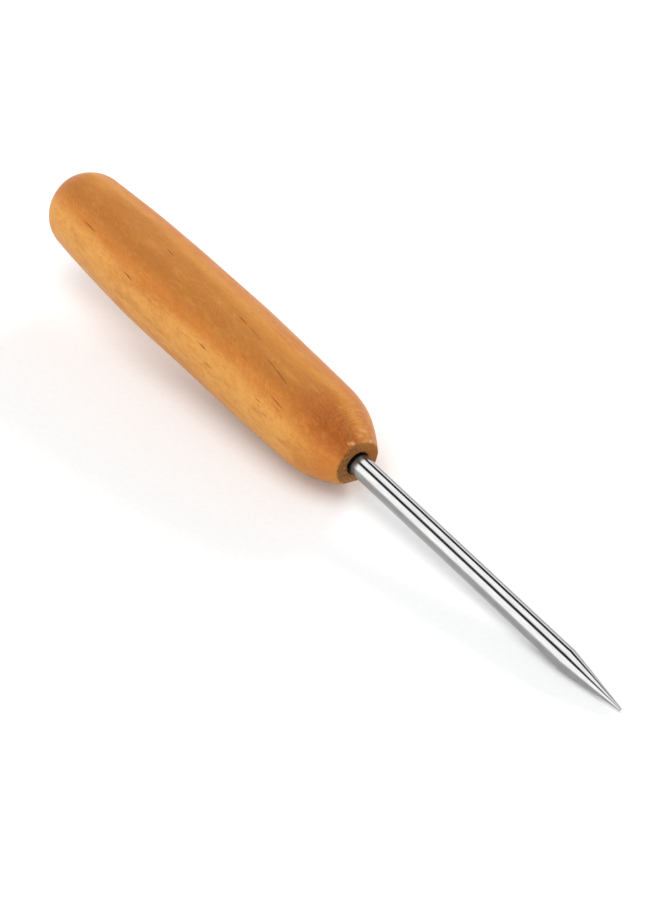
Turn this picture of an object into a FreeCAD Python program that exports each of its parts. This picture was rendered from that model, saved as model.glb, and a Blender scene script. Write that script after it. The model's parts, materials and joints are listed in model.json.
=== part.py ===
import FreeCAD, Part
import Sketcher
import math
import os

# Scratch awl: a turned wooden handle with a round steel blade glued into it.
#
# Every sub-part is drawn in one local frame. X is the axis of the awl and points at the tip, and
# the origin is the centre of the handle's flat front face, where the blade comes out.
# resting_placement() then lays the awl on Z = 0 as it lies on a bench: on the shoulder of its
# point and on the nose of the handle, with the middle of its length over the origin.

# Driving dimensions: name, size (mm, degrees or a plain count) and what it measures.
DIMENSIONS = [
    ("handle_length", 101.5, "front face to butt"),
    ("handle_diameter", 20.2, "at the belly"),
    ("belly_distance", 53, "front face to the widest place"),
    ("face_diameter", 10.3, "flat front face"),
    ("nose_radius", 25, "rounding behind the front face"),
    ("front_barrel_radius", 1600, "long arc from the nose to the belly"),
    ("butt_radius", 8.65, "round butt, centred on the axis"),
    ("blade_diameter", 4.76, "3/16 inch round rod"),
    ("blade_reach", 82, "front face to tip"),
    ("point_length", 16, "ground cone"),
    ("tip_diameter", 0.6, "flat left at the tip"),
    ("tang_length", 40, "rod inside the handle"),
    ("tang_diameter", 4.3, "turned down behind the front face to leave room for glue"),
    ("tang_chamfer", 0.5, "at the inner end of the tang"),
    ("bore_diameter", 5.16, "blind hole for the tang, a 13/64 inch drill"),
    ("bore_depth", 41.5, "full width of the blind hole"),
    ("drill_point_angle", 118, "conical bottom of the blind hole"),
    ("glue_setback", 1.2, "front face to the glue"),
    ("key_setback", 3, "front face to the first key groove"),
    ("key_count", 6, "glue key grooves around the tang"),
    ("key_pitch", 6, "one key groove to the next"),
    ("key_width", 3, "along the tang"),
    ("key_depth", 0.3, "into the tang"),
]
# Where the drill's point ends, as a formula of the sheet.
DRILL_POINT = "-bore_depth - bore_diameter / 2 / tan(drill_point_angle / 2 * 1deg)"
# Sketcher's numbers for the origin, the two axes and the three named places on a curve.
ORIGIN = (-1, 1)
HORIZONTAL_AXIS = -1
VERTICAL_AXIS = -2
START = 1
END = 2
CENTRE = 3


def add_sheet(document):
    """The spreadsheet of driving dimensions: name, size and meaning in columns A, B and C."""
    sheet = document.addObject("Spreadsheet::Sheet", "dimensions")
    for row, (alias, size, meaning) in enumerate(DIMENSIONS, start=1):
        sheet.set(f"A{row}", alias)
        sheet.set(f"B{row}", str(size))
        sheet.set(f"C{row}", meaning)
        sheet.setAlias(f"B{row}", alias)
    document.recompute()
    return sheet


def add_body(document, node):
    body = document.addObject("PartDesign::Body", node)
    body.Label = node
    return body


def add_sketch(body, name):
    """An empty sketch on the body's XY plane: its horizontal axis is the axis of the awl."""
    sketch = body.newObject("Sketcher::SketchObject", name)
    plane = next(item for item in body.Origin.OriginFeatures if item.Role == "XY_Plane")
    sketch.AttachmentSupport = (plane, [""])
    sketch.MapMode = "FlatFace"
    return sketch


def on_sheet(formula):
    """The same formula as read from outside the sheet."""
    for alias, _, _ in DIMENSIONS:
        formula = formula.replace(alias, f"dimensions.{alias}")
    return formula


def bind(sketch, constraint, label, formula):
    """Add a named dimension to the sketch and tie it to the sheet."""
    index = sketch.addConstraint(constraint)
    sketch.renameConstraint(index, label)
    sketch.setExpression(f"Constraints.{label}", on_sheet(formula))


def pin_point(sketch, geometry, place, label, x_formula, y_formula, sheet):
    """Hold a point of the sketch at the place that two formulas of the sheet give."""
    for kind, axis, formula in (
        ("DistanceX", VERTICAL_AXIS, x_formula),
        ("DistanceY", HORIZONTAL_AXIS, y_formula),
    ):
        size = float(sheet.evalExpression(formula))
        name = f"{label}_{kind[-1].lower()}"
        if size == 0:
            sketch.addConstraint(Sketcher.Constraint("PointOnObject", geometry, place, axis))
        elif size > 0:
            ahead = Sketcher.Constraint(kind, *ORIGIN, geometry, place, size)
            bind(sketch, ahead, name, formula)
        else:
            behind = Sketcher.Constraint(kind, geometry, place, *ORIGIN, -size)
            bind(sketch, behind, name, f"-({formula})")


def draw_polygon(sketch, corners, sheet):
    """A closed outline of straight lines through corners, each a pair of formulas."""
    points = [
        FreeCAD.Vector(float(sheet.evalExpression(x)), float(sheet.evalExpression(y)), 0)
        for x, y in corners
    ]
    count = len(corners)
    for index in range(count):
        sketch.addGeometry(Part.LineSegment(points[index], points[(index + 1) % count]))
    for index, (x_formula, y_formula) in enumerate(corners):
        following = (index + 1) % count
        sketch.addConstraint(Sketcher.Constraint("Coincident", index, END, following, START))
        pin_point(sketch, index, START, f"corner_{index}", x_formula, y_formula, sheet)


def revolve(body, sketch, kind, name):
    """Turn a sketch a full circle about the axis of the awl."""
    feature = body.newObject(f"PartDesign::{kind}", name)
    feature.Profile = (sketch, [""])
    feature.ReferenceAxis = (sketch, ["H_Axis"])
    feature.Angle = 360
    sketch.Visibility = False
    return feature


def turned(body, kind, name, corners, sheet):
    """Add or cut a turned shape with a straight-sided outline."""
    sketch = add_sketch(body, f"{name}_outline")
    draw_polygon(sketch, corners, sheet)
    return revolve(body, sketch, kind, name)


def repeat_keys(body, feature):
    """Repeat the first key groove, or the glue in it, along the tang."""
    pattern = body.newObject("PartDesign::LinearPattern", f"{feature.Name}_row")
    pattern.Originals = [feature]
    pattern.Direction = (feature.Profile[0], ["H_Axis"])
    pattern.Reversed = True
    pattern.setExpression("Length", on_sheet("(key_count - 1) * key_pitch"))
    pattern.setExpression("Occurrences", on_sheet("key_count"))
    body.Tip = pattern


def nose_centre(sheet):
    """Centre of the nose arc: its distance behind the front face and its height over the axis.

    The arc passes through the rim of the face and touches the front barrel arc from inside.
    """
    rim = sheet.face_diameter / 2
    barrel_drop = sheet.handle_diameter / 2 - sheet.front_barrel_radius - rim
    span = math.hypot(sheet.belly_distance, barrel_drop)
    along_x, along_y = sheet.belly_distance / span, barrel_drop / span
    to_barrel = sheet.front_barrel_radius - sheet.nose_radius
    along = (sheet.nose_radius**2 - to_barrel**2 + span**2) / (2 * span)
    across = math.sqrt(sheet.nose_radius**2 - along**2)
    return along * along_x - across * along_y, rim + along * along_y + across * along_x


def arc_between(centre, radius, start, end):
    """The arc from start round to end, anticlockwise about centre."""
    circle = Part.Circle(FreeCAD.Vector(*centre, 0), FreeCAD.Vector(0, 0, 1), radius)
    first, last = (math.atan2(y - centre[1], x - centre[0]) for x, y in (start, end))
    return Part.ArcOfCircle(circle, first, last)


def draw_handle_outline(sketch, sheet):
    """Half of the handle's lengthwise section: axis, front face, nose, barrel and butt."""
    radius = sheet.handle_diameter / 2
    front = sheet.front_barrel_radius
    butt_x = sheet.butt_radius - sheet.handle_length
    reach = -butt_x - sheet.belly_distance
    rear = (reach**2 + radius**2 - sheet.butt_radius**2) / (2 * (radius - sheet.butt_radius))
    nose_x, nose_y = nose_centre(sheet)
    belly = (-sheet.belly_distance, radius)
    front_centre = (belly[0], radius - front)
    rear_centre = (belly[0], radius - rear)
    lean = math.atan2(nose_y - front_centre[1], -nose_x - front_centre[0])
    nose_end = (front_centre[0] + front * math.cos(lean), front_centre[1] + front * math.sin(lean))
    lean = math.atan2(-rear_centre[1], butt_x - rear_centre[0])
    butt_start = (rear_centre[0] + rear * math.cos(lean), rear_centre[1] + rear * math.sin(lean))
    rim = (0, sheet.face_diameter / 2)
    back = (-sheet.handle_length, 0)

    axis, face, nose, front_barrel, rear_barrel, butt = range(6)
    for start, end in ((back, (0, 0)), ((0, 0), rim)):
        sketch.addGeometry(Part.LineSegment(FreeCAD.Vector(*start, 0), FreeCAD.Vector(*end, 0)))
    sketch.addGeometry(arc_between((-nose_x, nose_y), sheet.nose_radius, rim, nose_end))
    sketch.addGeometry(arc_between(front_centre, front, nose_end, belly))
    sketch.addGeometry(arc_between(rear_centre, rear, belly, butt_start))
    sketch.addGeometry(arc_between((butt_x, 0), sheet.butt_radius, butt_start, back))

    sketch.addConstraint(Sketcher.Constraint("Coincident", axis, END, face, START))
    sketch.addConstraint(Sketcher.Constraint("Coincident", axis, END, *ORIGIN))
    sketch.addConstraint(Sketcher.Constraint("Coincident", face, END, nose, START))
    sketch.addConstraint(Sketcher.Constraint("Coincident", butt, END, axis, START))
    for one, following in ((nose, front_barrel), (front_barrel, rear_barrel), (rear_barrel, butt)):
        sketch.addConstraint(Sketcher.Constraint("Tangent", one, END, following, START))
    level = Sketcher.Constraint("Vertical", front_barrel, CENTRE, front_barrel, END)
    sketch.addConstraint(level)
    sketch.addConstraint(Sketcher.Constraint("PointOnObject", butt, CENTRE, HORIZONTAL_AXIS))
    pin_point(sketch, axis, START, "butt_end", "-handle_length", "0", sheet)
    pin_point(sketch, face, END, "rim", "0", "face_diameter / 2", sheet)
    belly_place = ("-belly_distance", "handle_diameter / 2")
    pin_point(sketch, front_barrel, END, "belly", *belly_place, sheet)
    for arc, alias in (
        (nose, "nose_radius"),
        (front_barrel, "front_barrel_radius"),
        (butt, "butt_radius"),
    ):
        bind(sketch, Sketcher.Constraint("Radius", arc, getattr(sheet, alias)), alias, alias)


def make_handle(document, sheet):
    """Turned wooden handle with its blind hole, drilled with a pointed drill."""
    body = add_body(document, "handle")
    sketch = add_sketch(body, "barrel_outline")
    draw_handle_outline(sketch, sheet)
    barrel = revolve(body, sketch, "Revolution", "barrel")
    document.recompute()
    bore = turned(
        body,
        "Groove",
        "bore",
        [
            ("0", "0"),
            ("0", "bore_diameter / 2"),
            ("-bore_depth", "bore_diameter / 2"),
            (DRILL_POINT, "0"),
        ],
        sheet,
    )
    document.recompute()
    if bore.Shape.Volume >= barrel.Shape.Volume:
        raise RuntimeError("the bore cuts nothing out of the handle")
    return body


def make_blade(document, sheet):
    """Steel rod: turned-down tang with glue keys, straight shank and ground conical point."""
    body = add_body(document, "blade")
    rod = turned(
        body,
        "Revolution",
        "rod",
        [
            ("-tang_length", "0"),
            ("-tang_length", "tang_diameter / 2 - tang_chamfer"),
            ("-tang_length + tang_chamfer", "tang_diameter / 2"),
            ("0", "tang_diameter / 2"),
            ("0", "blade_diameter / 2"),
            ("blade_reach - point_length", "blade_diameter / 2"),
            ("blade_reach", "tip_diameter / 2"),
            ("blade_reach", "0"),
        ],
        sheet,
    )
    document.recompute()
    key = turned(
        body,
        "Groove",
        "key",
        [
            ("-key_setback", "tang_diameter / 2 - key_depth"),
            ("-key_setback", "tang_diameter"),
            ("-key_setback - key_width", "tang_diameter"),
            ("-key_setback - key_width", "tang_diameter / 2 - key_depth"),
        ],
        sheet,
    )
    document.recompute()
    if key.Shape.Volume >= rod.Shape.Volume:
        raise RuntimeError("the key groove cuts nothing out of the rod")
    repeat_keys(body, key)
    return body


def make_glue_bond(document, sheet):
    """Set glue: a sleeve round the tang, a pool below it and a ring in each key groove."""
    body = add_body(document, "glue_bond")
    turned(
        body,
        "Revolution",
        "sleeve",
        [
            ("-glue_setback", "tang_diameter / 2"),
            ("-glue_setback", "bore_diameter / 2"),
            ("-bore_depth", "bore_diameter / 2"),
            (DRILL_POINT, "0"),
            ("-tang_length", "0"),
            ("-tang_length", "tang_diameter / 2 - tang_chamfer"),
            ("-tang_length + tang_chamfer", "tang_diameter / 2"),
        ],
        sheet,
    )
    document.recompute()
    ring = turned(
        body,
        "Revolution",
        "ring",
        [
            ("-key_setback", "tang_diameter / 2 - key_depth"),
            ("-key_setback", "bore_diameter / 2"),
            ("-key_setback - key_width", "bore_diameter / 2"),
            ("-key_setback - key_width", "tang_diameter / 2 - key_depth"),
        ],
        sheet,
    )
    document.recompute()
    repeat_keys(body, ring)
    return body


def support_tilt(sheet, distance, radius):
    """Tilt that lays the nose and one edge of the blade on the same level."""
    nose_x, nose_y = nose_centre(sheet)
    back = distance + nose_x
    lift = radius - nose_y
    return math.asin(sheet.nose_radius / math.hypot(back, lift)) - math.atan2(lift, back)


def resting_placement(sheet):
    """The awl at rest, tilted tip down, its nose and the lowest edge of its blade on Z = 0.

    The blade has two edges that can touch: the shoulder of the point and the rim of the tip.
    """
    shoulder = (sheet.blade_reach - sheet.point_length, sheet.blade_diameter / 2)
    tip = (sheet.blade_reach, sheet.tip_diameter / 2)
    tilt, distance, radius = min((support_tilt(sheet, *edge), *edge) for edge in (shoulder, tip))
    height = distance * math.sin(tilt) + radius * math.cos(tilt)
    tip_end = tip[0] * math.cos(tilt) + tip[1] * math.sin(tilt)
    butt_end = (sheet.handle_length - sheet.butt_radius) * math.cos(tilt) + sheet.butt_radius
    place = FreeCAD.Vector((butt_end - tip_end) / 2, 0, height)
    turn = FreeCAD.Rotation(FreeCAD.Vector(0, 1, 0), math.degrees(tilt))
    return FreeCAD.Placement(place, turn)


def check(document, bodies):
    """Stop before anything is written if an object failed or a solid isn't whole."""
    for item in document.Objects:
        if "Invalid" in item.State or "Error" in item.State:
            raise RuntimeError(f"{item.Name} failed: {item.State}")
        if item.isDerivedFrom("Sketcher::SketchObject") and not item.FullyConstrained:
            raise RuntimeError(f"sketch {item.Name} isn't fully constrained")
    for body in bodies:
        if body.Shape.isNull() or not body.Shape.isValid() or len(body.Shape.Solids) != 1:
            raise RuntimeError(f"{body.Label} isn't one valid solid")


def main():
    document = FreeCAD.newDocument("scratch_awl")
    sheet = add_sheet(document)
    makers = (make_handle, make_blade, make_glue_bond)
    bodies = [make(document, sheet) for make in makers]
    for body in bodies:
        body.Placement = resting_placement(sheet)
    document.recompute()
    check(document, bodies)
    os.makedirs("parts", exist_ok=True)
    for body in bodies:
        body.Shape.exportStep(f"parts/{body.Label}.step")
        box = body.Shape.BoundBox
        print(f"{body.Label}: {body.Shape.Volume:.1f} mm3, {box.XMin:.2f} to {box.XMax:.2f}, "
              f"{box.YMin:.2f} to {box.YMax:.2f}, {box.ZMin:.2f} to {box.ZMax:.2f}")


main()
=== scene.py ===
import json
import math

import bpy
import numpy as np
from mathutils import Matrix, Vector


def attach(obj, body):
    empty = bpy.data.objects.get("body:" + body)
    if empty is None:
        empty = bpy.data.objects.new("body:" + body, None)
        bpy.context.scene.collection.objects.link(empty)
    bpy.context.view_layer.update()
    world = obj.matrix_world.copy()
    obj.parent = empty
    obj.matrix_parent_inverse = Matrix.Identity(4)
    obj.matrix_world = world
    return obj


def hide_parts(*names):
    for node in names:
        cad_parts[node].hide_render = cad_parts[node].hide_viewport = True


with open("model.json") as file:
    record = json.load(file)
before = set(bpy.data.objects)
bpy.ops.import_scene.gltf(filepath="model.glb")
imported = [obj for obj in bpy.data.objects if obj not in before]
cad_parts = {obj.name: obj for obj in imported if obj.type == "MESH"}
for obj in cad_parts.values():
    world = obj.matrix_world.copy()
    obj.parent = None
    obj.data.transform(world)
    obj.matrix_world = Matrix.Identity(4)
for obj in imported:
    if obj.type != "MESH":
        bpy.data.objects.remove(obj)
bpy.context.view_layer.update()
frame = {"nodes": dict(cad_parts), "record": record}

# The looks of a scratch awl. Lengths are millimetres and angles degrees, in the awl's own frame:
# X runs along its axis towards the tip, from the centre of the handle's flat front face, and
# angles go round the axis from the top (0) towards the side of the awl at -Y (90).

MM = 0.001


# ---------------------------------------------------------------- sizes, from the frame


def awl_placement():
    """The awl's own frame in the row frame, from the shank's mount: it is centred on the shank."""
    mount = next(m for m in frame["record"]["mounts"] if m["name"] == "blade_shank")
    axis = Vector(mount["axis"]).normalized()
    side = Vector((0, 1, 0))
    up = axis.cross(side)
    origin = Vector(mount["pos_m"]) - axis * mount["dims"]["length_mm"] * MM / 2
    turn = Matrix((axis, side, up)).transposed().to_4x4()
    return Matrix.Translation(origin) @ turn, mount["dims"]["length_mm"]


AWL, SHANK_LENGTH = awl_placement()


def measure(node):
    """How far a CAD node reaches back and forward along the axis, and its largest radius."""
    inverse = AWL.inverted()
    points = np.array([inverse @ v.co for v in frame["nodes"][node].data.vertices]) / MM
    radius = np.hypot(points[:, 1], points[:, 2]).max()
    return points[:, 0].min(), points[:, 0].max(), radius


HANDLE_BACK, _, HANDLE_RADIUS = measure("handle")
TANG_BACK, TIP, BLADE_RADIUS = measure("blade")
BORE_BACK, _, BORE_RADIUS = measure("glue_bond")

# The handle's outline, as turned: face, nose arc, two long barrel arcs and a round butt.
FACE_RADIUS = 5.15
RIM_ROUNDING = 0.25
BORE_CHAMFER = 0.12
NOSE_RADIUS = 25
BELLY = -53
FRONT_BARREL_RADIUS = 1600
BUTT_RADIUS = 8.65
DRILL_POINT_SLOPE = math.tan(math.radians(118 / 2))
# The tang behind the front face, and the ground point.
TANG_RADIUS = 2.15
TANG_CHAMFER = 0.5
KEY_SETBACK, KEY_COUNT, KEY_PITCH, KEY_WIDTH, KEY_DEPTH = 3, 6, 6, 3, 0.3
TIP_RADIUS = 0.3
BLADE_SEGMENTS = 192
# Edges of the blade that turn by more than this are crisp.
CRISP_EDGE = math.radians(5)


# ---------------------------------------------------------------- outlines


def arc(centre, radius, start, end, spacing):
    """Points from start to end, both in degrees, on an arc, about spacing apart."""
    length = radius * math.radians(abs(end - start))
    angles = np.radians(np.linspace(start, end, max(2, round(length / spacing) + 1)))
    return [(centre[0] + radius * math.cos(a), centre[1] + radius * math.sin(a)) for a in angles]


def line(start, end, spacing):
    count = max(2, round(math.dist(start, end) / spacing) + 1)
    return [tuple(p) for p in np.linspace(start, end, count)]


def join(*pieces):
    """One outline of several, without the points that two neighbours share."""
    outline = list(pieces[0])
    for piece in pieces[1:]:
        shared = math.dist(outline[-1], piece[0]) < 1e-6
        outline += piece[1:] if shared else piece
    return outline


def nose_centre():
    """Centre of the nose arc, which starts at the rim and touches the front barrel arc."""
    drop = HANDLE_RADIUS - FRONT_BARREL_RADIUS - FACE_RADIUS
    span = math.hypot(BELLY, drop)
    ahead, across = -BELLY / span, drop / span
    to_barrel = FRONT_BARREL_RADIUS - NOSE_RADIUS
    along = (NOSE_RADIUS**2 - to_barrel**2 + span**2) / (2 * span)
    off = math.sqrt(NOSE_RADIUS**2 - along**2)
    return -(along * ahead - off * across), FACE_RADIUS + along * across + off * ahead


def handle_outline():
    """The handle's section from the point of its bore, out over the face and back to the butt."""
    nose_spacing, barrel_spacing, butt_spacing = 0.36, 0.5, 0.55
    nose = nose_centre()
    front = (BELLY, HANDLE_RADIUS - FRONT_BARREL_RADIUS)
    butt = (HANDLE_BACK + BUTT_RADIUS, 0)
    reach = BELLY - butt[0]
    rise = HANDLE_RADIUS - BUTT_RADIUS
    rear_radius = (reach**2 + HANDLE_RADIUS**2 - BUTT_RADIUS**2) / (2 * rise)
    rear = (BELLY, HANDLE_RADIUS - rear_radius)
    nose_end = math.degrees(math.atan2(nose[1] - front[1], nose[0] - front[0]))
    butt_start = math.degrees(math.atan2(-rear[1], butt[0] - rear[0]))
    rim_start = math.degrees(math.atan2(FACE_RADIUS - nose[1], -nose[0]))
    lip = RIM_ROUNDING / NOSE_RADIUS * 180 / math.pi
    after_rim = (
        nose[0] + NOSE_RADIUS * math.cos(math.radians(rim_start + lip)),
        nose[1] + NOSE_RADIUS * math.sin(math.radians(rim_start + lip)),
    )
    bore_depth = BORE_BACK + BORE_RADIUS / DRILL_POINT_SLOPE
    # the bore, with points closer together near its mouth, the face and the rim, and the outside
    return join(
        line((BORE_BACK, 0), (bore_depth, BORE_RADIUS), 4),
        line((bore_depth, BORE_RADIUS), (-2, BORE_RADIUS), 8),
        line((-2, BORE_RADIUS), (-0.15, BORE_RADIUS), 0.6),
        line((0, BORE_RADIUS + BORE_CHAMFER), (0, FACE_RADIUS - RIM_ROUNDING), 0.22),
        [(-0.05, FACE_RADIUS - 0.08), after_rim],
        arc(nose, NOSE_RADIUS, rim_start + lip, nose_end, nose_spacing),
        arc(front, FRONT_BARREL_RADIUS, nose_end, 90, barrel_spacing),
        arc(rear, rear_radius, 90, butt_start, barrel_spacing),
        arc(butt, BUTT_RADIUS, butt_start, 180, butt_spacing),
    )


def blade_outline():
    """The blade's section from the inner end of the tang to the flat of the tip. Points lie close
    on both sides of the shoulder and of the tip's edge, so both stay crisp."""
    edge = 0.06
    outline = [
        (TANG_BACK, 0),
        (TANG_BACK, TANG_RADIUS - TANG_CHAMFER),
        (TANG_BACK + TANG_CHAMFER, TANG_RADIUS),
    ]
    for key in range(KEY_COUNT - 1, -1, -1):
        front = -KEY_SETBACK - key * KEY_PITCH
        outline += [
            (front - KEY_WIDTH, TANG_RADIUS),
            (front - KEY_WIDTH, TANG_RADIUS - KEY_DEPTH),
            (front, TANG_RADIUS - KEY_DEPTH),
            (front, TANG_RADIUS),
        ]
    outline += [(0, TANG_RADIUS), (0, BLADE_RADIUS - 0.03), (0.03, BLADE_RADIUS)]
    outline += line((0.3, BLADE_RADIUS), (SHANK_LENGTH - edge, BLADE_RADIUS), 0.6)
    slope = (BLADE_RADIUS - TIP_RADIUS) / (TIP - SHANK_LENGTH)
    outline += line(
        (SHANK_LENGTH + edge, BLADE_RADIUS - slope * edge),
        (TIP - edge, TIP_RADIUS + slope * edge),
        0.4,
    )
    return outline + [(TIP, TIP_RADIUS - 0.05), (TIP, 0)]


# ---------------------------------------------------------------- meshes


def ring_angles(count):
    return np.radians(np.arange(count) * 360 / count)


def handle_angles():
    """Closer together on the side that has the splits."""
    start, end, fine, coarse = -36, 80, 0.5, 1.6
    split_side = np.arange(start, end, fine)
    other_side = np.linspace(end, start + 360, round((start + 360 - end) / coarse), endpoint=False)
    return np.radians(np.concatenate([split_side, other_side]))


def spun_mesh(name, along, out, angles):
    """A closed mesh of rings: along and out are arrays of rings by angles, both ends a point."""
    rings, count = along.shape
    points = np.stack([along, -out * np.sin(angles), out * np.cos(angles)], axis=-1) * MM
    verts = [tuple(points[0, 0])]
    verts += [tuple(p) for p in points[1:-1].reshape(-1, 3)]
    verts.append(tuple(points[-1, 0]))
    last = len(verts) - 1
    faces = []
    for j in range(count):
        k = (j + 1) % count
        faces.append((0, 1 + j, 1 + k))
        for i in range(rings - 3):
            a = 1 + i * count
            faces.append((a + j, a + count + j, a + count + k, a + k))
        a = 1 + (rings - 3) * count
        faces.append((a + j, last, a + k))
    mesh = bpy.data.meshes.new(name)
    mesh.from_pydata(verts, [], faces)
    mesh.update()
    return mesh


def add_piece(name, mesh, replaced, material):
    """Put a finished mesh where the CAD node is, riding with the awl, in that node's place."""
    mesh.transform(AWL)
    mesh.shade_smooth()
    mesh.materials.append(material)
    piece = bpy.data.objects.new(name, mesh)
    bpy.context.scene.collection.objects.link(piece)
    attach(piece, "root")
    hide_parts(replaced)


def set_mask(mesh, name, values):
    """Store one number per vertex: values is an array of rings by angles."""
    flat = [values[0].mean(), *values[1:-1].ravel(), values[-1].mean()]
    mesh.attributes.new(name, "FLOAT", "POINT").data.foreach_set("value", flat)


# Open pores and short splits along the grain of the handle: distance behind the front face and
# angle of the front and the back end, then depth and half-width.
SPLITS = [
    ((19, 24), (24, 20), 0.16, 0.09),
    ((24, 20), (26.5, 18.5), 0.12, 0.07),
    ((15.7, 49), (19.7, 47.3), 0.12, 0.08),
    ((15.5, 55), (18.4, 53.3), 0.08, 0.07),
    ((21.4, 62.5), (22.9, 62.3), 0.1, 0.08),
    ((18.2, 71), (19.7, 70.5), 0.08, 0.08),
    ((37.1, 4.3), (39.7, 3.5), 0.14, 0.08),
    ((31, 7.3), (36, 4.5), 0.1, 0.06),
    ((40, 60.6), (42.1, 60), 0.16, 0.1),
    ((37, 74.8), (38.7, 73), 0.13, 0.08),
    ((35.1, 53.6), (36.9, 53), 0.07, 0.06),
    ((57.3, 59.3), (59.3, 58.6), 0.07, 0.07),
    ((81.6, 49), (85.6, 48.6), 0.16, 0.08),
    ((66, 60.7), (68.7, 59.7), 0.16, 0.09),
    ((62.7, 3.3), (64.9, 2.2), 0.16, 0.08),
    ((67.2, -2.8), (70.1, -3.3), 0.07, 0.07),
    ((53.8, 70.8), (55.8, 70.2), 0.07, 0.07),
    ((61, -24.5), (62.2, -25.4), 0.08, 0.08),
    ((35, -29), (36, -29.6), 0.1, 0.11),
]


# Pale chips just behind the rim: distance behind the face, angle, length round it and strength.
RIM_CHIPS = [
    (2.0, -24, 0.9, 0.45),
    (1.35, -12, 0.5, 0.3),
    (0.6, 12, 0.35, 0.8),
    (0.9, 19, 0.25, 0.5),
]

# Waves that leave the turned surface not quite round: height, how many round the handle, angle
# that they are shifted by, and how far along it they take to turn by one radian.
WOBBLES = [(0.035, 2, 40, 17), (0.03, 3, -70, 9.5), (0.012, 5, 15, 3.1)]

# How ragged the rim is: share, how many teeth round it, and the angle they are shifted by.
RIM_TEETH = [(0.5, 17, 0), (0.3, 29, 70), (0.2, 53, 30)]


def split_profile(along, around, radius):
    """How deep the splits are at each point, and how dark from 0 to 1."""
    fade, dark_depth = 0.35, 0.12
    depth = np.zeros_like(along)
    dark = np.zeros_like(along)
    for (x1, a1), (x2, a2), deep, half_width in SPLITS:
        share = np.clip((-along - x1) / (x2 - x1), 0, 1)
        past = np.clip(np.abs(-along - (x1 + x2) / 2) - (x2 - x1) / 2, 0, None)
        turn = (around - (a1 + (a2 - a1) * share) + 180) % 360 - 180
        off = np.radians(turn) * radius
        ends = np.sqrt(np.clip(share * (1 - share) * 4, 0, 1)) * 0.6 + 0.4
        near = np.exp(-((off / half_width) ** 2) - (past / fade) ** 2) * ends
        depth += deep * near
        dark = np.maximum(dark, near * min(1, deep / dark_depth))
    return depth, dark


def smooth_step(low, high, x):
    t = np.clip((x - low) / (high - low), 0, 1)
    return t * t * (3 - 2 * t)


def bump_at(around, centre, half_width):
    """1 at an angle, fading to 0 half_width degrees away."""
    turn = np.abs((around - centre + 180) % 360 - 180)
    return 1 - smooth_step(0, half_width, turn)


def out_of_round(along, around):
    """How far the handle's side stands out from the true turned shape: it waves a little, and is
    fuller on one side in front and on the other at the back."""
    front_fullness, back_fullness = 0.4, 0.5
    wobble = sum(
        height * np.sin(np.radians(count * around + shift) + along / pitch)
        for height, count, shift, pitch in WOBBLES
    )
    front = front_fullness * bump_at(around, -55, 90) * smooth_step(-62, -38, along)
    front = front * smooth_step(-1, -9, along)
    back = back_fullness * bump_at(around, 125, 90) * smooth_step(-45, -70, along)
    return wobble + front + back


def worn_rim(along, around, out):
    """The rim chipped at the top, rasped flat at the bottom and never quite crisp: where its
    points move to, along and out, and how raw the wood is there."""
    chip_depth, rasp_depth, tooth_depth = 0.16, 0.42, 0.05
    chip_setback, rasp_setback = 0.1, 0.2
    chip_width, chip_slant = 0.28, 0.25
    near_rim = 1 - smooth_step(0.1, 1.7, -along)
    near_rim = near_rim * smooth_step(FACE_RADIUS - 1.1, FACE_RADIUS - 0.1, out)
    ragged = sum(
        share * np.sin(np.radians(around * teeth + shift)) for share, teeth, shift in RIM_TEETH
    )
    chips = bump_at(around, -10, 30) * (0.8 + 0.35 * ragged) + 0.45 * bump_at(around, 26, 12)
    rasp = bump_at(around, 168, 30)
    out = out - near_rim * (chip_depth * chips + rasp_depth * rasp + tooth_depth * ragged)
    setback = near_rim * (chip_setback * chips + rasp_setback * rasp)
    along = along - setback * smooth_step(4.6, 5.1, out)

    rim_line = smooth_step(0.5, 0.1, -along)
    rim_line = rim_line * smooth_step(FACE_RADIUS - 0.4, FACE_RADIUS - 0.1, out)
    raw = rim_line * bump_at(around, -36, 42) * (0.6 + 0.5 * ragged)
    for x, angle, length, strength in RIM_CHIPS:
        off = np.radians((around - angle + 180) % 360 - 180) * FACE_RADIUS
        slanted = along + x + chip_slant * off
        chip = np.exp(-((slanted / chip_width) ** 2) - (off / length) ** 4)
        raw += strength * chip * (along < -0.1)
    return along, out, np.clip(raw, 0, 1)


def make_handle(material):
    """The turned wooden handle, with its bore, splits, chipped rim and hand-sanded surface."""
    angles = handle_angles()
    outline = np.array(handle_outline())
    along = np.repeat(outline[:, :1], len(angles), axis=1)
    out = np.repeat(outline[:, 1:], len(angles), axis=1)
    around = np.repeat(np.degrees(angles)[None, :], len(outline), axis=0)
    on_face = (along > -0.2) & (out > BORE_RADIUS)

    # the bore and the two ends of the axis stay true
    outside = smooth_step(BORE_RADIUS + 0.6, FACE_RADIUS - 0.3, out)
    out = out + out_of_round(along, around) * outside * smooth_step(0, 6, out)
    depth, dark = split_profile(along, around, np.maximum(out, 1))
    out = out - depth * (out > BORE_RADIUS + 1) * (along < -1)
    along, out, raw = worn_rim(along, around, out)

    mesh = spun_mesh("turned_handle", along, out, angles)
    set_mask(mesh, "split", dark)
    set_mask(mesh, "raw_wood", raw)
    # bare wood on the face, up to the rim, and in the bore
    inside_rim = 1 - smooth_step(5.0, 5.2, out)
    in_bore = (out < BORE_RADIUS + 0.1) & (along > BORE_BACK - 1)
    set_mask(mesh, "end_grain", on_face * inside_rim + in_bore)
    add_piece("turned_handle", mesh, "handle", material)


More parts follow.
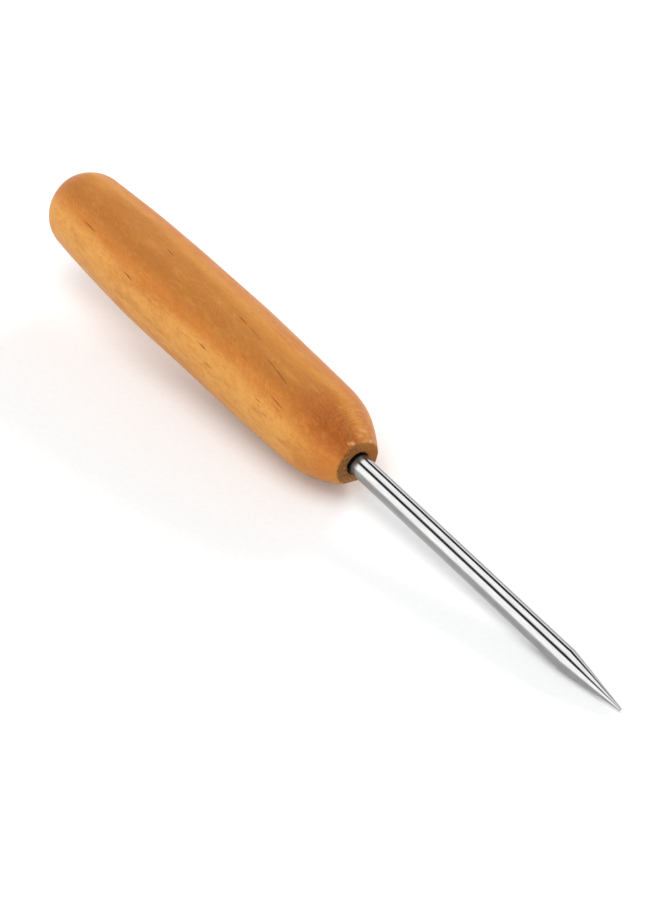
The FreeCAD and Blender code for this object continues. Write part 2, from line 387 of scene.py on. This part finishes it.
def make_blade(material):
    """The steel rod with its keyed tang, crisp shoulder and ground point."""
    outline = np.array(blade_outline())
    along = np.repeat(outline[:, :1], BLADE_SEGMENTS, axis=1)
    out = np.repeat(outline[:, 1:], BLADE_SEGMENTS, axis=1)
    mesh = spun_mesh("ground_blade", along, out, ring_angles(BLADE_SEGMENTS))
    add_piece("ground_blade", mesh, "blade", material)
    mesh.set_sharp_from_angle(angle=CRISP_EDGE)


# ---------------------------------------------------------------- materials


class Nodes:
    """Short ways to add and link the nodes of one material or world."""

    def __init__(self, tree):
        self.tree = tree
        tree.nodes.clear()

    def add(self, kind, **settings):
        node = self.tree.nodes.new(kind)
        for name, value in settings.items():
            setattr(node, name, value)
        return node

    def feed(self, socket, value):
        """Link a socket to another, or set it to a plain value."""
        if isinstance(value, bpy.types.NodeSocket):
            self.tree.links.new(value, socket)
        else:
            socket.default_value = value

    def feed_all(self, node, values):
        """Feed a node's first sockets in order."""
        for socket, value in zip(node.inputs, values):
            self.feed(socket, value)
        return node

    def math(self, operation, *values, clamp=False):
        node = self.add("ShaderNodeMath", operation=operation, use_clamp=clamp)
        return self.feed_all(node, values).outputs[0]

    def vector(self, operation, *values):
        node = self.add("ShaderNodeVectorMath", operation=operation)
        self.feed_all(node, values)
        return node.outputs["Value" if operation == "DOT_PRODUCT" else "Vector"]

    def combine(self, x, y, z):
        return self.feed_all(self.add("ShaderNodeCombineXYZ"), (x, y, z)).outputs[0]

    def noise(self, vector, scale=1.0, detail=2.0, roughness=0.5, distortion=0.0):
        node = self.add("ShaderNodeTexNoise")
        self.feed(node.inputs["Vector"], vector)
        node.inputs["Scale"].default_value = scale
        node.inputs["Detail"].default_value = detail
        node.inputs["Roughness"].default_value = roughness
        node.inputs["Distortion"].default_value = distortion
        return node.outputs["Fac"]

    def streaks(self, place, along, across, **settings):
        """Noise with so many cells to a millimetre along the awl, and across it."""
        return self.noise(self.vector("MULTIPLY", place, (along, across, across)), **settings)

    def between(self, value, low, high, to_low=0.0, to_high=1.0):
        """value from low..high, smoothly, to to_low..to_high."""
        node = self.add("ShaderNodeMapRange", interpolation_type="SMOOTHSTEP")
        return self.feed_all(node, (value, low, high, to_low, to_high)).outputs[0]

    def ramp(self, value, stops, smooth="EASE"):
        node = self.add("ShaderNodeValToRGB")
        node.color_ramp.interpolation = smooth
        elements = node.color_ramp.elements
        while len(elements) < len(stops):
            elements.new(0.5)
        for element, (place, colour) in zip(elements, stops):
            element.position = place
            element.color = (*colour, 1)
        self.feed(node.inputs[0], value)
        return node.outputs[0]

    def mix(self, share, one, other):
        """Two colours, from one at share 0 to the other at share 1."""
        node = self.add("ShaderNodeMix", data_type="RGBA")
        self.feed(node.inputs[0], share)
        for socket, colour in ((node.inputs[6], one), (node.inputs[7], other)):
            self.feed(socket, colour if isinstance(colour, bpy.types.NodeSocket) else (*colour, 1))
        return node.outputs[2]

    def tint(self, colour, other, mask, strength):
        """colour, with up to strength of the other mixed in where the mask is 1."""
        return self.mix(self.math("MULTIPLY", mask, strength), colour, other)

    def attribute(self, name):
        return self.add("ShaderNodeAttribute", attribute_name=name).outputs["Fac"]

    def bump(self, height, distance, strength):
        node = self.add("ShaderNodeBump")
        node.inputs["Strength"].default_value = strength
        node.inputs["Distance"].default_value = distance
        self.feed(node.inputs["Height"], height)
        return node.outputs[0]

    def surface(self, colour, roughness, normal, metallic=0.0, specular=0.5):
        """The Principled shader that ends a material."""
        shader = self.add("ShaderNodeBsdfPrincipled")
        self.feed(shader.inputs["Base Color"], colour)
        self.feed(shader.inputs["Roughness"], roughness)
        self.feed(shader.inputs["Normal"], normal)
        shader.inputs["Metallic"].default_value = metallic
        shader.inputs["Specular IOR Level"].default_value = specular
        end = self.add("ShaderNodeOutputMaterial")
        self.feed(end.inputs["Surface"], shader.outputs[0])


def new_material(name):
    material = bpy.data.materials.new(name)
    material.use_nodes = True
    return material, Nodes(material.node_tree)


def awl_coordinates(n):
    """Position in the awl's frame in millimetres: whole, x, y and z."""
    inverse = AWL.inverted()
    mapping = n.add("ShaderNodeMapping", vector_type="POINT")
    mapping.inputs["Location"].default_value = inverse.translation / MM
    mapping.inputs["Rotation"].default_value = inverse.to_euler("XYZ")
    mapping.inputs["Scale"].default_value = (1 / MM,) * 3
    n.feed(mapping.inputs["Vector"], n.add("ShaderNodeTexCoord").outputs["Object"])
    place = mapping.outputs[0]
    split = n.add("ShaderNodeSeparateXYZ")
    n.feed(split.inputs[0], place)
    return place, *split.outputs


def around_axis(n, y, z, least):
    """Distance from the axis, and the direction from it as two parts of a unit vector, which
    shrinks to nothing from least inwards."""
    square = n.math("ADD", n.math("MULTIPLY", y, y), n.math("MULTIPLY", z, z))
    radius = n.math("SQRT", square)
    unit = n.math("MAXIMUM", radius, least)
    return radius, n.math("DIVIDE", y, unit), n.math("DIVIDE", z, unit)


# Colours of the wood, from pale to dark.
RAW_TAN = (0.66, 0.4, 0.19)
PALE_GOLD = (0.69, 0.335, 0.078)
SILK_GOLD = (0.7, 0.34, 0.08)
FIBRE_GOLD = (0.66, 0.33, 0.09)
SCRATCH_TAN = (0.62, 0.34, 0.16)
GOLDEN = (0.58, 0.262, 0.055)
HONEY = (0.5, 0.205, 0.043)
EMBER = (0.46, 0.138, 0.018)
HEART_AND_SHADE_BROWN = (0.38, 0.138, 0.026)
RUSSET = (0.38, 0.105, 0.014)
SCRATCH_BROWN = (0.32, 0.11, 0.025)
FIBRE_BROWN = (0.3, 0.1, 0.02)
NOSE_RED = (0.26, 0.056, 0.007)
SPLIT_BROWN = (0.16, 0.042, 0.007)
# Colours of the bare end grain.
END_PALE = (0.42, 0.215, 0.08)
END_TAN = (0.38, 0.17, 0.05)
END_HIGHLIGHT_ORANGE = (0.46, 0.165, 0.034)
END_BROWN = (0.25, 0.1, 0.026)
END_DARK = (0.09, 0.033, 0.01)
BORE_SHADE_BLACK = (0.02, 0.014, 0.01)

# Bands of colour along the whole handle, one over the other: colour, strength, angle of its
# middle, and how many degrees from there it is still full and quite gone. They are partly the
# wood's own figure and partly painted light and shade: the brown middle band, its redder edge
# and the darker upper edge are painted shade, and the pale gold band is a painted lit side.
BANDS = [
    (PALE_GOLD, 0.5, 74, 3, 30),
    (RUSSET, 0.5, -60, 18, 48),
    (EMBER, 0.8, 38, 1, 26),
    (HEART_AND_SHADE_BROWN, 0.85, 14, 5, 34),
]


class Wood:
    """The handle's wood, layer by layer: most layers take the colour so far and add to it."""

    def __init__(self, n):
        self.n = n
        self.place, self.x, y, z = awl_coordinates(n)
        self.radius, self.side_y, self.side_z = around_axis(n, y, z, FACE_RADIUS - RIM_ROUNDING)
        self.blotch = n.streaks(self.place, 0.45, 0.9, detail=4, roughness=0.65, distortion=0.4)
        # the edges of the bands sway along the handle and are feathered
        sway = n.streaks(self.place, 0.035, 0.08, detail=1)
        sway = n.math("MULTIPLY", n.math("SUBTRACT", sway, 0.5), 0.25)
        feather = n.math("MULTIPLY", n.math("SUBTRACT", self.blotch, 0.5), 0.25)
        self.drift = n.math("ADD", sway, feather)

    def side(self, angle, full, gone):
        """1 within full degrees of an angle round the handle, 0 beyond gone."""
        n = self.n
        angle = math.radians(angle)
        up_part = n.math("MULTIPLY", self.side_z, math.cos(angle))
        side_part = n.math("MULTIPLY", self.side_y, math.sin(angle))
        cosine = n.math("ADD", n.math("SUBTRACT", up_part, side_part), self.drift)
        return n.between(cosine, math.cos(math.radians(gone)), math.cos(math.radians(full)))

    def bands(self):
        """Golden sapwood, a brown streak of heartwood with a redder edge, and a red nose. The gold
        is partly painted light, and the brown streak is partly painted shade.
        """
        n = self.n
        # gold low on the side and on top: partly the sapwood, partly painted light
        broad_gold = n.math("MULTIPLY", self.side(77, 14, 54), 0.95)
        top_gold = n.math("MULTIPLY", self.side(-8, 6, 28), 0.5)
        colour = n.mix(n.math("ADD", broad_gold, top_gold), HONEY, GOLDEN)
        for tint, strength, angle, full, gone in BANDS:
            colour = n.tint(colour, tint, self.side(angle, full, gone), strength)
        nose = n.math("MULTIPLY", n.between(self.x, -14, -2), self.side(50, 35, 105))
        colour = n.tint(colour, EMBER, nose, 0.8)
        nose_spot = n.math("MULTIPLY", n.between(self.x, -20, -5), self.side(24, 6, 35))
        return n.tint(colour, NOSE_RED, nose_spot, 0.95)

    def clouds(self, colour):
        """Broad darker and paler clouds."""
        n = self.n
        cloud = n.streaks(self.place, 0.04, 0.13, detail=4, roughness=0.55)
        patch = n.streaks(self.place, 0.14, 0.5, detail=3, roughness=0.6)
        tone = n.math("ADD", n.math("MULTIPLY", cloud, 0.5), n.math("MULTIPLY", patch, 0.5))
        colour = n.tint(colour, RUSSET, n.between(tone, 0.5, 0.38), 0.35)
        return n.tint(colour, GOLDEN, n.between(tone, 0.52, 0.64), 0.35)

    def silk(self, colour):
        """Silky figure that winds slowly round the handle: the colour and the silk itself."""
        n = self.n
        twist = n.math("MULTIPLY", self.x, 0.12)
        cosine, sine = n.math("COSINE", twist), n.math("SINE", twist)
        y_cosine, y_sine = (n.math("MULTIPLY", self.side_y, part) for part in (cosine, sine))
        z_cosine, z_sine = (n.math("MULTIPLY", self.side_z, part) for part in (cosine, sine))
        wound_y = n.math("ADD", y_cosine, z_sine)
        wound_z = n.math("SUBTRACT", z_cosine, y_sine)
        wound = n.combine(self.x, wound_y, wound_z)
        silk = n.streaks(wound, 0.4, 24, detail=3, roughness=0.65)
        where = n.between(n.streaks(self.place, 0.07, 0.16, detail=2), 0.4, 0.6, 0.15, 1.0)
        strength = n.math("MULTIPLY", where, self.side(72, 30, 75))
        light = n.math("MULTIPLY", n.between(silk, 0.5, 0.66), strength)
        dark = n.math("MULTIPLY", n.between(silk, 0.5, 0.36), strength)
        colour = n.tint(colour, SILK_GOLD, light, 0.22)
        return n.tint(colour, RUSSET, dark, 0.2), silk

    def blotches(self, colour):
        """Small blotches, redder and paler."""
        n = self.n
        colour = n.tint(colour, EMBER, n.between(self.blotch, 0.54, 0.34), 0.28)
        return n.tint(colour, GOLDEN, n.between(self.blotch, 0.5, 0.74), 0.3)

    def fibres(self, colour):
        """Fibres and pores along the grain: the colour, the fibres and the pores."""
        n = self.n
        fibre = n.streaks(self.place, 0.5, 3.6, detail=4, roughness=0.7)
        pore = n.between(n.streaks(self.place, 0.9, 6, detail=1), 0.66, 0.78)
        colour = n.tint(colour, FIBRE_BROWN, n.between(fibre, 0.56, 0.32), 0.2)
        colour = n.tint(colour, FIBRE_GOLD, n.between(fibre, 0.5, 0.72), 0.14)
        return n.tint(colour, SPLIT_BROWN, pore, 0.22), fibre, pore

    def sanding_marks(self, colour):
        """Marks that run round the handle, strongest over the nose: the colour and the marks."""
        n = self.n
        along, turn = 3.2, 3
        around = n.combine(
            n.math("MULTIPLY", self.x, along),
            n.math("MULTIPLY", self.side_y, turn),
            n.math("MULTIPLY", self.side_z, turn),
        )
        marks = n.noise(around, detail=3, roughness=0.7)
        nose_top = n.math("MULTIPLY", self.side(-26, 12, 52), n.between(self.x, -14, -5))
        nose_top = n.math("MULTIPLY", nose_top, 0.6)
        strength = n.math("ADD", n.between(self.x, -24, -6, 0.08, 0.2), nose_top)
        light, dark = n.math("MULTIPLY", strength, 0.32), n.math("MULTIPLY", strength, 0.4)
        light = n.math("MULTIPLY", n.between(marks, 0.48, 0.68), light, clamp=True)
        dark = n.math("MULTIPLY", n.between(marks, 0.48, 0.36), dark, clamp=True)
        colour = n.mix(dark, n.mix(light, colour, SCRATCH_TAN), SCRATCH_BROWN)
        return colour, n.math("MULTIPLY", marks, strength)

    def end_grain(self):
        """Bare end grain, with a painted highlight in orange on its upper side towards +Y, pale at
        the foot, and painted shade round the blade.
        """
        n = self.n
        cells = n.noise(n.vector("MULTIPLY", self.place, (0.5, 6.0, 1.5)), detail=4, roughness=0.7)
        grain = n.ramp(cells, [(0.4, END_DARK), (0.5, END_BROWN), (0.6, END_TAN)])
        # painted highlight: orange towards the upper +Y side of the face
        face_highlight = n.between(n.vector("DOT_PRODUCT", self.place, (0, 0.9, 0.44)), 0.8, 3.6)
        grain = n.tint(grain, END_HIGHLIGHT_ORANGE, face_highlight, 0.5)
        foot = n.between(n.vector("DOT_PRODUCT", self.place, (0, -0.2, -0.98)), 2.6, 4.6)
        foot = n.math("MULTIPLY", foot, n.between(cells, 0.42, 0.6, 0.2, 0.7))
        grain = n.mix(foot, grain, END_PALE)
        # painted shade: a dark ring on the face round the bore
        bore_shade = n.between(self.radius, BORE_RADIUS - 0.05, BORE_RADIUS + 0.25, 1.0, 0.0)
        return n.tint(grain, BORE_SHADE_BLACK, bore_shade, 0.55)


def wood_material():
    """Honey-coloured lacquered wood, with bare end grain on the front face."""
    material, n = new_material("lacquered_wood")
    wood = Wood(n)
    colour, silk = wood.silk(wood.clouds(wood.bands()))
    colour, fibre, pore = wood.fibres(wood.blotches(colour))
    colour, scratches = wood.sanding_marks(colour)
    bare = n.attribute("end_grain")
    colour = n.mix(bare, colour, wood.end_grain())
    colour = n.mix(n.attribute("raw_wood"), colour, RAW_TAN)
    colour = n.tint(colour, SPLIT_BROWN, n.between(n.attribute("split"), 0.12, 0.7), 0.92)

    height = n.math("ADD", scratches, n.math("MULTIPLY", fibre, 0.4))
    height = n.math("ADD", height, n.math("MULTIPLY", silk, 0.3))
    height = n.math("ADD", height, n.math("MULTIPLY", pore, -0.6))
    normal = n.bump(height, 0.02 * MM, 0.6)
    polish = n.between(n.streaks(wood.place, 0.2, 0.5, detail=3), 0.3, 0.7, 0.4, 0.52)
    roughness = n.math("ADD", polish, n.math("MULTIPLY", bare, 0.4), clamp=True)
    n.surface(colour, roughness, normal, specular=0.16)
    return material


STEEL_DARK, STEEL_PALE = (0.285, 0.285, 0.285), (0.325, 0.325, 0.322)
GRIT_GREY = (0.16, 0.155, 0.15)
# Painted shade for the blade's root at the handle's face.
ROOT_SHADE_GREY = (0.06, 0.055, 0.05)
ROOT_SHADOW_BLACK = (0.008, 0.007, 0.006)


def steel_material():
    """Polished steel rod with the fine rings of grinding, and painted shade and a painted
    reflection of the dark bore on its root where it leaves the handle."""
    material, n = new_material("ground_steel")
    place, x, y, z = awl_coordinates(n)
    _, side_y, side_z = around_axis(n, y, z, TIP_RADIUS)
    along, turn = 11, 1.2
    rings = n.combine(
        n.math("MULTIPLY", x, along),
        n.math("MULTIPLY", side_y, turn),
        n.math("MULTIPLY", side_z, turn),
    )
    rings = n.noise(rings, detail=3, roughness=0.7)
    grit = n.streaks(place, 2.5, 9, detail=2)
    smear = n.streaks(place, 0.25, 1.2, detail=3)
    colour = n.ramp(smear, [(0.3, STEEL_DARK), (0.7, STEEL_PALE)])
    colour = n.tint(colour, GRIT_GREY, n.between(grit, 0.6, 0.75), 0.15)
    ragged = n.math("MULTIPLY", n.streaks(place, 0.8, 1.6, detail=2), 0.6)
    root = n.math("SUBTRACT", x, ragged)
    # painted shade and a painted reflection of the bore, darkest right at the face
    colour = n.tint(colour, ROOT_SHADE_GREY, n.between(root, 2.2, 0.3), 0.6)
    colour = n.tint(colour, ROOT_SHADOW_BLACK, n.between(root, 0.7, 0.0), 0.97)
    scuffed_side = n.between(side_y, -0.75, -0.98, 0.0, 0.1)
    dull_root = n.between(x, 0.2, 2.8, 0.32, 0.0)
    roughness = n.math("ADD", scuffed_side, dull_root)
    roughness = n.math("ADD", n.between(rings, 0.3, 0.7, 0.07, 0.16), roughness)
    normal = n.bump(n.math("ADD", rings, n.math("MULTIPLY", grit, 0.3)), 0.0012 * MM, 0.6)
    n.surface(colour, roughness, normal, metallic=1.0)
    return material


GLUE_BROWN, GLUE_AMBER = (0.42, 0.22, 0.06), (0.62, 0.42, 0.16)
BUBBLE_PALE = (0.8, 0.66, 0.38)


def glue_material():
    """Set glue: amber, glossy, with fine bubbles."""
    material, n = new_material("set_glue")
    place = awl_coordinates(n)[0]
    cloud = n.streaks(place, 0.5, 1.1, detail=3)
    colour = n.ramp(cloud, [(0.3, GLUE_BROWN), (0.7, GLUE_AMBER)])
    bubbles = n.add("ShaderNodeTexVoronoi")
    n.feed(bubbles.inputs["Vector"], place)
    bubbles.inputs["Scale"].default_value = 2.2
    bubble = n.between(bubbles.outputs["Distance"], 0.25, 0.0)
    colour = n.tint(colour, BUBBLE_PALE, bubble, 0.35)
    normal = n.bump(bubble, 0.05 * MM, 0.4)
    n.surface(colour, n.between(cloud, 0.3, 0.7, 0.18, 0.34), normal)
    return material


PAPER_DARK, PAPER_PALE = (0.881, 0.885, 0.888), (0.901, 0.905, 0.908)


def floor_material():
    """Matt white paper."""
    material, n = new_material("white_paper")
    place = n.add("ShaderNodeTexCoord").outputs["Object"]
    tooth = n.noise(place, scale=900, detail=3)
    colour = n.ramp(tooth, [(0.3, PAPER_DARK), (0.7, PAPER_PALE)])
    n.surface(colour, 0.9, n.bump(tooth, 0.02 * MM, 0.3), specular=0.1)
    return material


# ---------------------------------------------------------------- studio

FLOOR_HALF_WIDTH = 3  # metres

# The camera: angle round from -Y towards +X, height above the floor, distance in metres, the
# point that it looks at, and its lens and sensor in millimetres.
CAMERA_AZIMUTH, CAMERA_ELEVATION, CAMERA_DISTANCE = 52.87, 38.46, 0.8963
CAMERA_AIM = Vector((0.62, 0, 5.96)) * MM
CAMERA_LENS, CAMERA_SENSOR = 178.8, 36

# What the steel mirrors all round the awl's axis: (angle, brightness). Long soft boxes with dark
# gaps between them, and pale room below.
STUDIO_STRIPS = [
    (-180, 1.3),
    (-95, 1.3),
    (-92, 0.3),
    (-87, 0.3),
    (-83, 2.3),
    (-68, 2.3),
    (-63, 0.06),
    (-41, 0.06),
    (-34, 2.8),
    (5, 2.8),
    (13, 0.06),
    (31, 0.06),
    (39, 3.0),
    (86, 3.0),
    (94, 1.3),
    (180, 1.3),
]
BRIGHTEST_STRIP = max(brightness for _, brightness in STUDIO_STRIPS)

# The light on the paper is two fifths from the whole room and a third from overhead. The rest
# is from a low key and a rim light behind at +Y, and a broad fill in front.
ROOM_LIGHT = (0.5, 0.5, 0.5)
# Name, angle round from +X towards +Y, height above the floor, energy, and width in degrees.
SUNS = [
    ("key", 112, 25, 1.45, 16),
    ("rim", 90, 12, 0.7, 40),
    ("fill", -62, 18, 1.3, 60),
    ("overhead", -90, 80, 1.42, 50),
]


def sky_direction(azimuth, elevation):
    """A direction from its angle round from +X towards +Y and its height above the floor."""
    azimuth, elevation = math.radians(azimuth), math.radians(elevation)
    level = math.cos(elevation)
    return Vector((math.cos(azimuth) * level, math.sin(azimuth) * level, math.sin(elevation)))


def add_looking(name, data, place, direction):
    """Put a camera or a light at a place, so that it looks along a direction."""
    item = bpy.data.objects.new(name, data)
    item.location = place
    item.rotation_mode = "QUATERNION"
    item.rotation_quaternion = direction.to_track_quat("-Z", "Y")
    bpy.context.scene.collection.objects.link(item)
    return item


def make_floor():
    half = FLOOR_HALF_WIDTH
    mesh = bpy.data.meshes.new("paper_floor")
    corners = [(-half, -half, 0), (half, -half, 0), (half, half, 0), (-half, half, 0)]
    mesh.from_pydata(corners, [], [(0, 1, 2, 3)])
    mesh.materials.append(floor_material())
    floor = bpy.data.objects.new("paper_floor", mesh)
    bpy.context.scene.collection.objects.link(floor)


def make_camera():
    data = bpy.data.cameras.new("camera")
    data.lens = CAMERA_LENS
    data.sensor_width = CAMERA_SENSOR
    data.clip_start = 0.01
    back = sky_direction(CAMERA_AZIMUTH - 90, CAMERA_ELEVATION)
    place = CAMERA_AIM + back * CAMERA_DISTANCE
    bpy.context.scene.camera = add_looking("camera", data, place, -back)


def make_world():
    """White to the camera, soft light all round, and long strips of light in mirrors."""
    world = bpy.data.worlds.new("studio")
    world.use_nodes = True
    bpy.context.scene.world = world
    n = Nodes(world.node_tree)
    direction = n.add("ShaderNodeTexCoord").outputs["Generated"]
    up = AWL.to_3x3() @ Vector((0, 0, 1))
    side = AWL.to_3x3() @ Vector((0, -1, 0))
    across = n.vector("DOT_PRODUCT", direction, tuple(side))
    above = n.vector("DOT_PRODUCT", direction, tuple(up))
    turn = n.math("ADD", n.math("DIVIDE", n.math("ARCTAN2", across, above), 2 * math.pi), 0.5)
    stops = [
        ((angle + 180) / 360, (brightness / BRIGHTEST_STRIP,) * 3)
        for angle, brightness in STUDIO_STRIPS
    ]
    strips = n.vector("MULTIPLY", n.ramp(turn, stops, "LINEAR"), (BRIGHTEST_STRIP,) * 3)
    path = n.add("ShaderNodeLightPath")
    ambient = n.mix(path.outputs["Is Glossy Ray"], ROOM_LIGHT, strips)
    shown = n.mix(path.outputs["Is Camera Ray"], ambient, (1.0, 1.0, 1.0))
    background = n.add("ShaderNodeBackground")
    n.feed(background.inputs["Color"], shown)
    end = n.add("ShaderNodeOutputWorld")
    n.feed(end.inputs["Surface"], background.outputs[0])


def make_lights():
    """The suns, which the steel doesn't mirror: it mirrors the strips of the world instead."""
    for name, azimuth, elevation, energy, width in SUNS:
        data = bpy.data.lights.new(name, "SUN")
        data.energy = energy
        data.angle = math.radians(width)
        direction = sky_direction(azimuth, elevation)
        light = add_looking(name, data, direction, -direction)
        light.visible_camera = False
        light.visible_glossy = False


bpy.context.scene.view_settings.view_transform = "Standard"
make_camera()
make_world()
make_lights()
make_floor()
make_handle(wood_material())
make_blade(steel_material())
frame["nodes"]["glue_bond"].data.materials.clear()
frame["nodes"]["glue_bond"].data.materials.append(glue_material())
